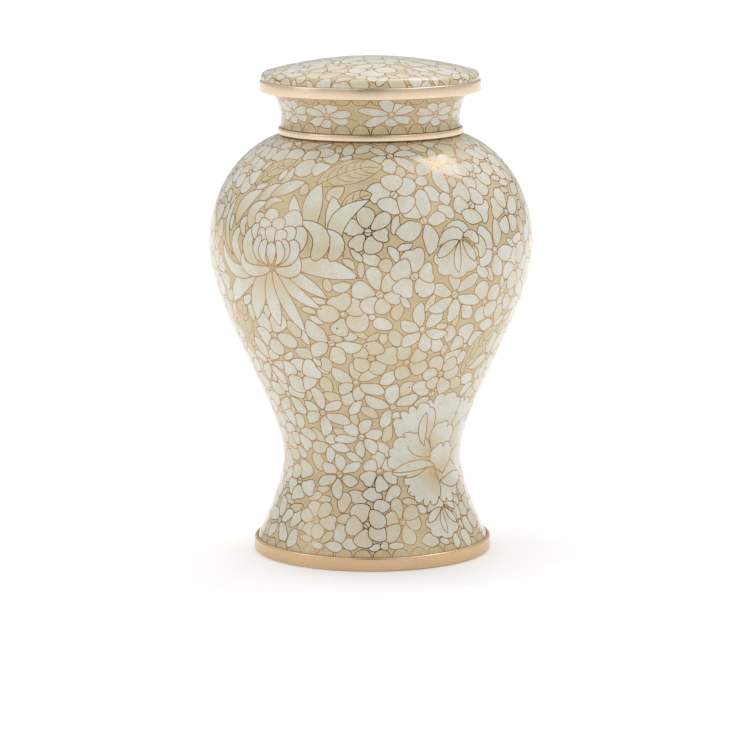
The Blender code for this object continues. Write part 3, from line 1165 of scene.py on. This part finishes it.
def srgb(red, green, blue):
    channels = [c / 255 for c in (red, green, blue)]
    return tuple(c / 12.92 if c <= 0.04045 else ((c + 0.055) / 1.055) ** 2.4 for c in channels) + (1.0,)


class Nodes:
    """A short way to add and join the nodes of a material or of the world."""

    def __init__(self, owner, shader="Principled BSDF", coordinates="Object"):
        self.owner = owner
        owner.use_nodes = True
        self.tree = owner.node_tree
        self.shader = self.tree.nodes[shader]
        self.position = self.add("ShaderNodeTexCoord").outputs[coordinates]

    def fill(self, node, inputs):
        for key, value in inputs.items():
            if isinstance(value, bpy.types.NodeSocket):
                self.tree.links.new(value, node.inputs[key])
            else:
                node.inputs[key].default_value = value

    def add(self, kind, inputs=None, **settings):
        node = self.tree.nodes.new(kind)
        for key, value in settings.items():
            setattr(node, key, value)
        self.fill(node, inputs or {})
        return node

    def noise(self, scale, detail, stretch=(1, 1, 1), roughness=0.5):
        moved = self.add("ShaderNodeMapping", {"Vector": self.position, "Scale": stretch})
        made = self.add(
            "ShaderNodeTexNoise",
            {"Vector": moved.outputs[0], "Scale": scale, "Detail": detail, "Roughness": roughness},
        )
        return made.outputs["Fac"]

    def math(self, operation, *values, clamp=False):
        inputs = dict(enumerate(values))
        return self.add("ShaderNodeMath", inputs, operation=operation, use_clamp=clamp).outputs[0]

    def remap(self, value, low, high, new_low, new_high, kind="LINEAR"):
        inputs = {"Value": value, "From Min": low, "From Max": high, "To Min": new_low, "To Max": new_high}
        return self.add("ShaderNodeMapRange", inputs, interpolation_type=kind).outputs["Result"]

    def mix(self, factor, one, two):
        # Sockets 0, 6 and 7, and output 2, are the ones for colours
        return self.add("ShaderNodeMix", {0: factor, 6: one, 7: two}, data_type="RGBA").outputs[2]

    def set(self, **sockets):
        self.fill(self.shader, {key.replace("_", " "): value for key, value in sockets.items()})

    def bump(self, height, strength, distance):
        made = self.add("ShaderNodeBump", {"Height": height, "Strength": strength, "Distance": distance})
        self.set(Normal=made.outputs[0])


ENAMEL_STOPS = (
    (0.0, srgb(195, 176, 135)),
    (0.2, srgb(204, 187, 150)),
    (0.4, srgb(208, 194, 162)),
    (0.65, srgb(210, 200, 174)),
    (0.85, srgb(211, 205, 187)),
    (1.0, srgb(217, 215, 204)),
)


def enamel_material():
    """Glossy enamel whose colour runs from tan to a greyish white along each petal."""
    made = Nodes(bpy.data.materials.new("enamel"))
    glaze = made.add("ShaderNodeAttribute", attribute_name="glaze", attribute_type="GEOMETRY")
    parts = made.add("ShaderNodeSeparateColor", {"Color": glaze.outputs["Color"]})
    along = made.remap(parts.outputs[0], 0.0, 0.7, 0.0, 1.0, "SMOOTHSTEP")
    difference = made.math("SUBTRACT", parts.outputs[2], parts.outputs[1])
    white = made.math("MULTIPLY_ADD", along, difference, parts.outputs[1])
    clouds = made.remap(made.noise(170, 3), 0.3, 0.7, -0.14, 0.1)
    grain = made.remap(made.noise(1100, 3, roughness=0.7), 0.32, 0.68, -0.24, 0.2)
    shade = made.remap(glaze.outputs["Alpha"], 0.0, 1.0, -0.08, 0.04)
    white = made.math("ADD", white, made.math("ADD", clouds, made.math("ADD", grain, shade)), clamp=True)
    ramp = made.add("ShaderNodeValToRGB", {"Fac": white})
    while len(ramp.color_ramp.elements) < len(ENAMEL_STOPS):
        ramp.color_ramp.elements.new(0.5)
    for element, (place, colour) in zip(ramp.color_ramp.elements, ENAMEL_STOPS):
        element.position, element.color = place, colour
    specks = made.add("ShaderNodeTexVoronoi", {"Vector": made.position, "Scale": 420.0}, feature="F1")
    rare = made.remap(made.noise(75, 2), 0.46, 0.68, 0.0, 0.12)
    speck = made.math("LESS_THAN", specks.outputs["Distance"], rare)
    colour = made.mix(made.math("MULTIPLY", speck, 0.5), ramp.outputs[0], srgb(120, 104, 80))
    pit = made.math("LESS_THAN", parts.outputs[1], -0.5)
    colour = made.mix(pit, colour, srgb(52, 40, 28))
    made.set(Base_Color=colour, Roughness=made.remap(made.noise(60, 2), 0.3, 0.7, 0.1, 0.17), IOR=1.47)
    made.bump(made.noise(95, 2), 0.25, 0.0004)
    return made.owner


def metal_material(name, tints, clouds, grain, roughness, bump=None):
    """Metal of a cloudy tint. Clouds and grain are noises, and the grain makes it rougher or smoother."""
    made = Nodes(bpy.data.materials.new(name))
    grain = made.noise(*grain)
    tint = made.mix(made.noise(*clouds), *tints)
    made.set(Base_Color=tint, Metallic=1.0, Roughness=made.remap(grain, 0.3, 0.7, *roughness))
    if bump:
        made.bump(grain, *bump)
    return made.owner


def wire_material():
    """Copper-gold wire, polished flush with the enamel."""
    tints = srgb(142, 108, 74), srgb(176, 138, 100)
    return metal_material("wire", tints, (160, 2), (300, 2), (0.14, 0.26))


def brass_material(name, darker, lighter):
    """Satin brass, brushed round the urn, with faint cloudy wear."""
    brushed = (55, 4, (1, 1, 90), 0.6)
    return metal_material(name, (darker, lighter), (35, 3), brushed, (0.22, 0.3), (0.06, 0.0002))


def bare_copper_material():
    """The vessel's inside, lip and underside: dull copper."""
    tints = srgb(150, 98, 70), srgb(188, 132, 98)
    return metal_material("bare_copper", tints, (40, 4), (120, 3), (0.35, 0.55))


# Pieces


def inlaid(node, drawings, looks):
    """Ground, petals and wires that stand for one node."""
    sets = [patches(drawing) for drawing in drawings]
    for kind, look in (("ground", "enamel"), ("petals", "enamel"), ("wires", "wire")):
        patch = joined([made[kind] for made in sets])
        name = f"{node}_{kind}"
        new_piece(name, patch_mesh(name, patch, kind != "wires"), looks[look], node)


def inner_curve(profile):
    """The profile moved inwards by the wall."""
    return profile - WALL * left_of(unit(np.gradient(profile, axis=0)))


def vessel_shell(look):
    """What of the vessel carries no enamel: lip, inner wall, floor, ring seat and underside."""
    neck = inner_curve(neck_profile())
    neck = neck[neck[:, 1] < MOUTH_HEIGHT - 0.05]
    neck = neck[: np.argmin(neck[:, 0]) + 1]
    throat = neck[-1, 0]
    floor = VESSEL_LOW[2] + FLOOR_THICKNESS
    body = inner_curve(body_profile())
    body = body[(body[:, 0] > throat) & (body[:, 1] > floor + 0.5)]
    lining = [
        (MOUTH_RADIUS, MOUTH_HEIGHT - LIP_BEVEL[1]),
        (MOUTH_RADIUS - LIP_BEVEL[0], MOUTH_HEIGHT),
        (neck[0, 0], MOUTH_HEIGHT),
        *neck,
        (throat, body[0, 1]),
        *body,
        (FOOT_RADIUS - WALL, floor),
        (0, floor),
    ]
    seat_radius = NECK_RING_HIGH[0] - NECK_RING_WALL - GAP
    seat = [
        (COLLAR_RADIUS, NECK_BASE),
        (seat_radius, NECK_BASE),
        (seat_radius, SHOULDER_HEIGHT),
        (COLLAR_RADIUS, SHOULDER_HEIGHT),
    ]
    under = [(FOOT_RADIUS, FOOT_HEIGHT), (FOOT_RADIUS, VESSEL_LOW[2]), (0, VESSEL_LOW[2])]
    turned_piece("vessel_shell", [lining, seat, under], look, "vessel")


def foot_ring(look):
    bore, high = FOOT_RADIUS + GAP, RING_HIGH[2]
    inner = bore - FOOT_FLANGE_WIDTH
    profile = [
        *band_profile(bore, RING_HIGH[0], 0, high, BAND_ROUNDING)[:-1],
        (inner, 0),
        (inner, FOOT_FLANGE_THICKNESS),
        (bore, FOOT_FLANGE_THICKNESS),
        (bore, high),
    ]
    turned_piece("foot_ring_band", [profile], look, "foot_ring")


def neck_ring(look):
    outer, low, high = NECK_RING_HIGH[0], NECK_RING_LOW[2], NECK_RING_HIGH[2]
    bore = outer - NECK_RING_WALL
    profile = [*band_profile(bore, outer, low, high, NECK_RING_ROUNDING), (bore, high)]
    turned_piece("neck_ring_band", [profile], look, "neck_ring")


def lid_rim(look):
    outer, low, high = RIM_HIGH[0], RIM_LOW[2], RIM_HIGH[2]
    bore = outer - LID_BAND_WALL
    collar_bore = LID_COLLAR_RADIUS - LID_COLLAR_WALL
    seat = MOUTH_HEIGHT + GAP
    flange_top = seat + LID_FLANGE_THICKNESS
    profile = [
        *band_profile(bore, outer, seat, high, BAND_ROUNDING)[:-1],
        (LID_COLLAR_RADIUS, seat),
        (LID_COLLAR_RADIUS, low),
        (collar_bore, low),
        (collar_bore, flange_top),
        (bore, flange_top),
        (bore, high),
    ]
    turned_piece("lid_rim_band", [profile], look, "lid_rim")


def lid_dome_shell(look):
    """The dome's underside and skirt."""
    under = inner_curve(dome_profile())
    skirt = RIM_HIGH[0] - LID_BAND_WALL - GAP
    under = under[under[:, 0] < skirt - WALL]
    low, edge = DOME_LOW[2], RIM_HIGH[2] + GAP
    profile = [
        (DOME_HIGH[0], edge),
        (skirt, edge),
        (skirt, low),
        (skirt - WALL, low),
        *under[::-1],
    ]
    turned_piece("lid_dome_shell", [profile], look, "lid_dome")


# Studio


# The camera's place and aim in millimetres, its lens, and how far it is rolled
CAMERA_DISTANCE = 1910.6
CAMERA_HEIGHT = 418.6
CAMERA_ASIDE = 1.8
AIM_HEIGHT = 93.3
LENS = 174.3
ROLL = math.radians(0.25)


def looking(place, aim):
    """Where a camera or a lamp stands, turned towards its aim."""
    facing = (aim - place).to_track_quat("-Z", "Y").to_matrix().to_4x4()
    return Matrix.Translation(place) @ facing


def make_camera():
    data = bpy.data.cameras.new("camera")
    data.lens = LENS
    data.sensor_width = 36
    data.clip_start, data.clip_end = 0.1, 50
    camera = linked("camera", data)
    place = Vector((CAMERA_ASIDE, -CAMERA_DISTANCE, CAMERA_HEIGHT)) * MM
    aim = Vector((CAMERA_ASIDE, 0, AIM_HEIGHT)) * MM
    camera.matrix_world = looking(place, aim) @ Matrix.Rotation(-ROLL, 4, "Z")
    bpy.context.scene.camera = camera


# The part of the surroundings towards the camera is dark, as wide as this share of its distance
DARK_EDGES = (0.14, 0.4)
# Strength of the surroundings: in the dark part and beside it, and how much more they shine overhead
DARK, BRIGHT = 0.1, 0.48
OVERHEAD = 2.85
# The floor glows of itself, painted light that keeps it white: more so farther away, plus a glow that fades
# out round one spot right of the foot, which paints a darker contact shadow there
FLOOR_GLOW = (0.1, 0.17)
GLOW_OFF_PAINTED_SHADOW = 0.15
PAINTED_SHADOW_PLACE = (0.05, -0.02, 0)


def make_world():
    """White all round, but dark towards the camera, where the wires reflect it."""
    made = Nodes(bpy.data.worlds.new("studio"), "Background", "Generated")
    parts = made.add("ShaderNodeSeparateXYZ", {0: made.position}).outputs
    forward = made.math("MAXIMUM", made.math("MULTIPLY", parts["Y"], -1.0), 0.0001)
    aside = made.math("DIVIDE", made.math("ABSOLUTE", parts["X"]), forward)
    around = made.remap(aside, *DARK_EDGES, DARK, BRIGHT, "SMOOTHSTEP")
    overhead = made.remap(parts["Z"], 0.15, 1.0, 1.0, OVERHEAD)
    made.set(Color=(1, 1, 1, 1), Strength=made.math("MULTIPLY", around, overhead))
    bpy.context.scene.world = made.owner


def make_floor():
    mesh = bpy.data.meshes.new("floor")
    reach = 8.0
    corners = [(-reach, -reach, 0), (reach, -reach, 0), (reach, reach, 0), (-reach, reach, 0)]
    mesh.from_pydata(corners, [], [(0, 1, 2, 3)])
    floor = linked("floor", mesh)
    made = Nodes(bpy.data.materials.new("glowing_paper"))
    away = made.add("ShaderNodeVectorMath", {0: made.position}, operation="LENGTH")
    beside = made.add("ShaderNodeVectorMath", {0: made.position, 1: PAINTED_SHADOW_PLACE}, operation="DISTANCE")
    # Painted light and shadow: the floor's glow is lowest on the spot right of the foot and paints the
    # contact shadow there
    far_glow = made.remap(away.outputs["Value"], 0.12, 1.2, *FLOOR_GLOW)
    glow_off_painted_shadow = made.remap(beside.outputs["Value"], 0.04, 0.13, 0.0, GLOW_OFF_PAINTED_SHADOW, "SMOOTHSTEP")
    glow = made.math("ADD", far_glow, glow_off_painted_shadow)
    made.set(Base_Color=(0.82, 0.82, 0.82, 1), Roughness=0.9, Emission_Color=(1, 1, 1, 1))
    made.set(Emission_Strength=glow)
    mesh.materials.append(made.owner)


def direction_to(azimuth, elevation):
    """A unit vector: azimuth is measured from the camera's side to the right, in degrees."""
    azimuth, elevation = math.radians(azimuth), math.radians(elevation)
    flat = math.cos(elevation)
    return Vector((flat * math.sin(azimuth), -flat * math.cos(azimuth), math.sin(elevation)))


# Azimuth and elevation in degrees, distance and size in metres, and power of each softbox
SOFTBOXES = {
    "back_softbox": (140, 60, 1.5, (1.3, 0.5), 6.6),
    "left_softbox": (-72, 22, 1.5, (0.6, 0.9), 1.6),
    "right_softbox": (48, 30, 1.6, (0.65, 0.5), 0.9),
}


def make_softboxes():
    middle = Vector((0, 0, 0.15))
    for name, (azimuth, elevation, distance, size, power) in SOFTBOXES.items():
        data = bpy.data.lights.new(name, "AREA")
        data.shape = "RECTANGLE"
        data.size, data.size_y = size
        data.energy = power
        lamp = linked(name, data)
        lamp.matrix_world = looking(middle + distance * direction_to(azimuth, elevation), middle)


def main():
    looks = {
        "enamel": enamel_material(),
        "wire": wire_material(),
        # One brass in two copies: paler for the neck ring and lid rim, painted light from the white they
        # reflect, and darker and warmer for the foot ring, painted shade
        "brass_painted_light": brass_material("brass_painted_light", srgb(222, 197, 168), srgb(232, 212, 186)),
        "brass_painted_shade": brass_material("brass_painted_shade", srgb(211, 177, 138), srgb(222, 192, 154)),
        "copper": bare_copper_material(),
    }
    inlaid("vessel", [draw_body(), draw_neck()], looks)
    inlaid("lid_dome", [draw_dome()], looks)
    vessel_shell(looks["copper"])
    lid_dome_shell(looks["copper"])
    foot_ring(looks["brass_painted_shade"])
    neck_ring(looks["brass_painted_light"])
    lid_rim(looks["brass_painted_light"])
    make_camera()
    make_world()
    make_floor()
    make_softboxes()
    bpy.context.scene.view_settings.view_transform = "Standard"


main()
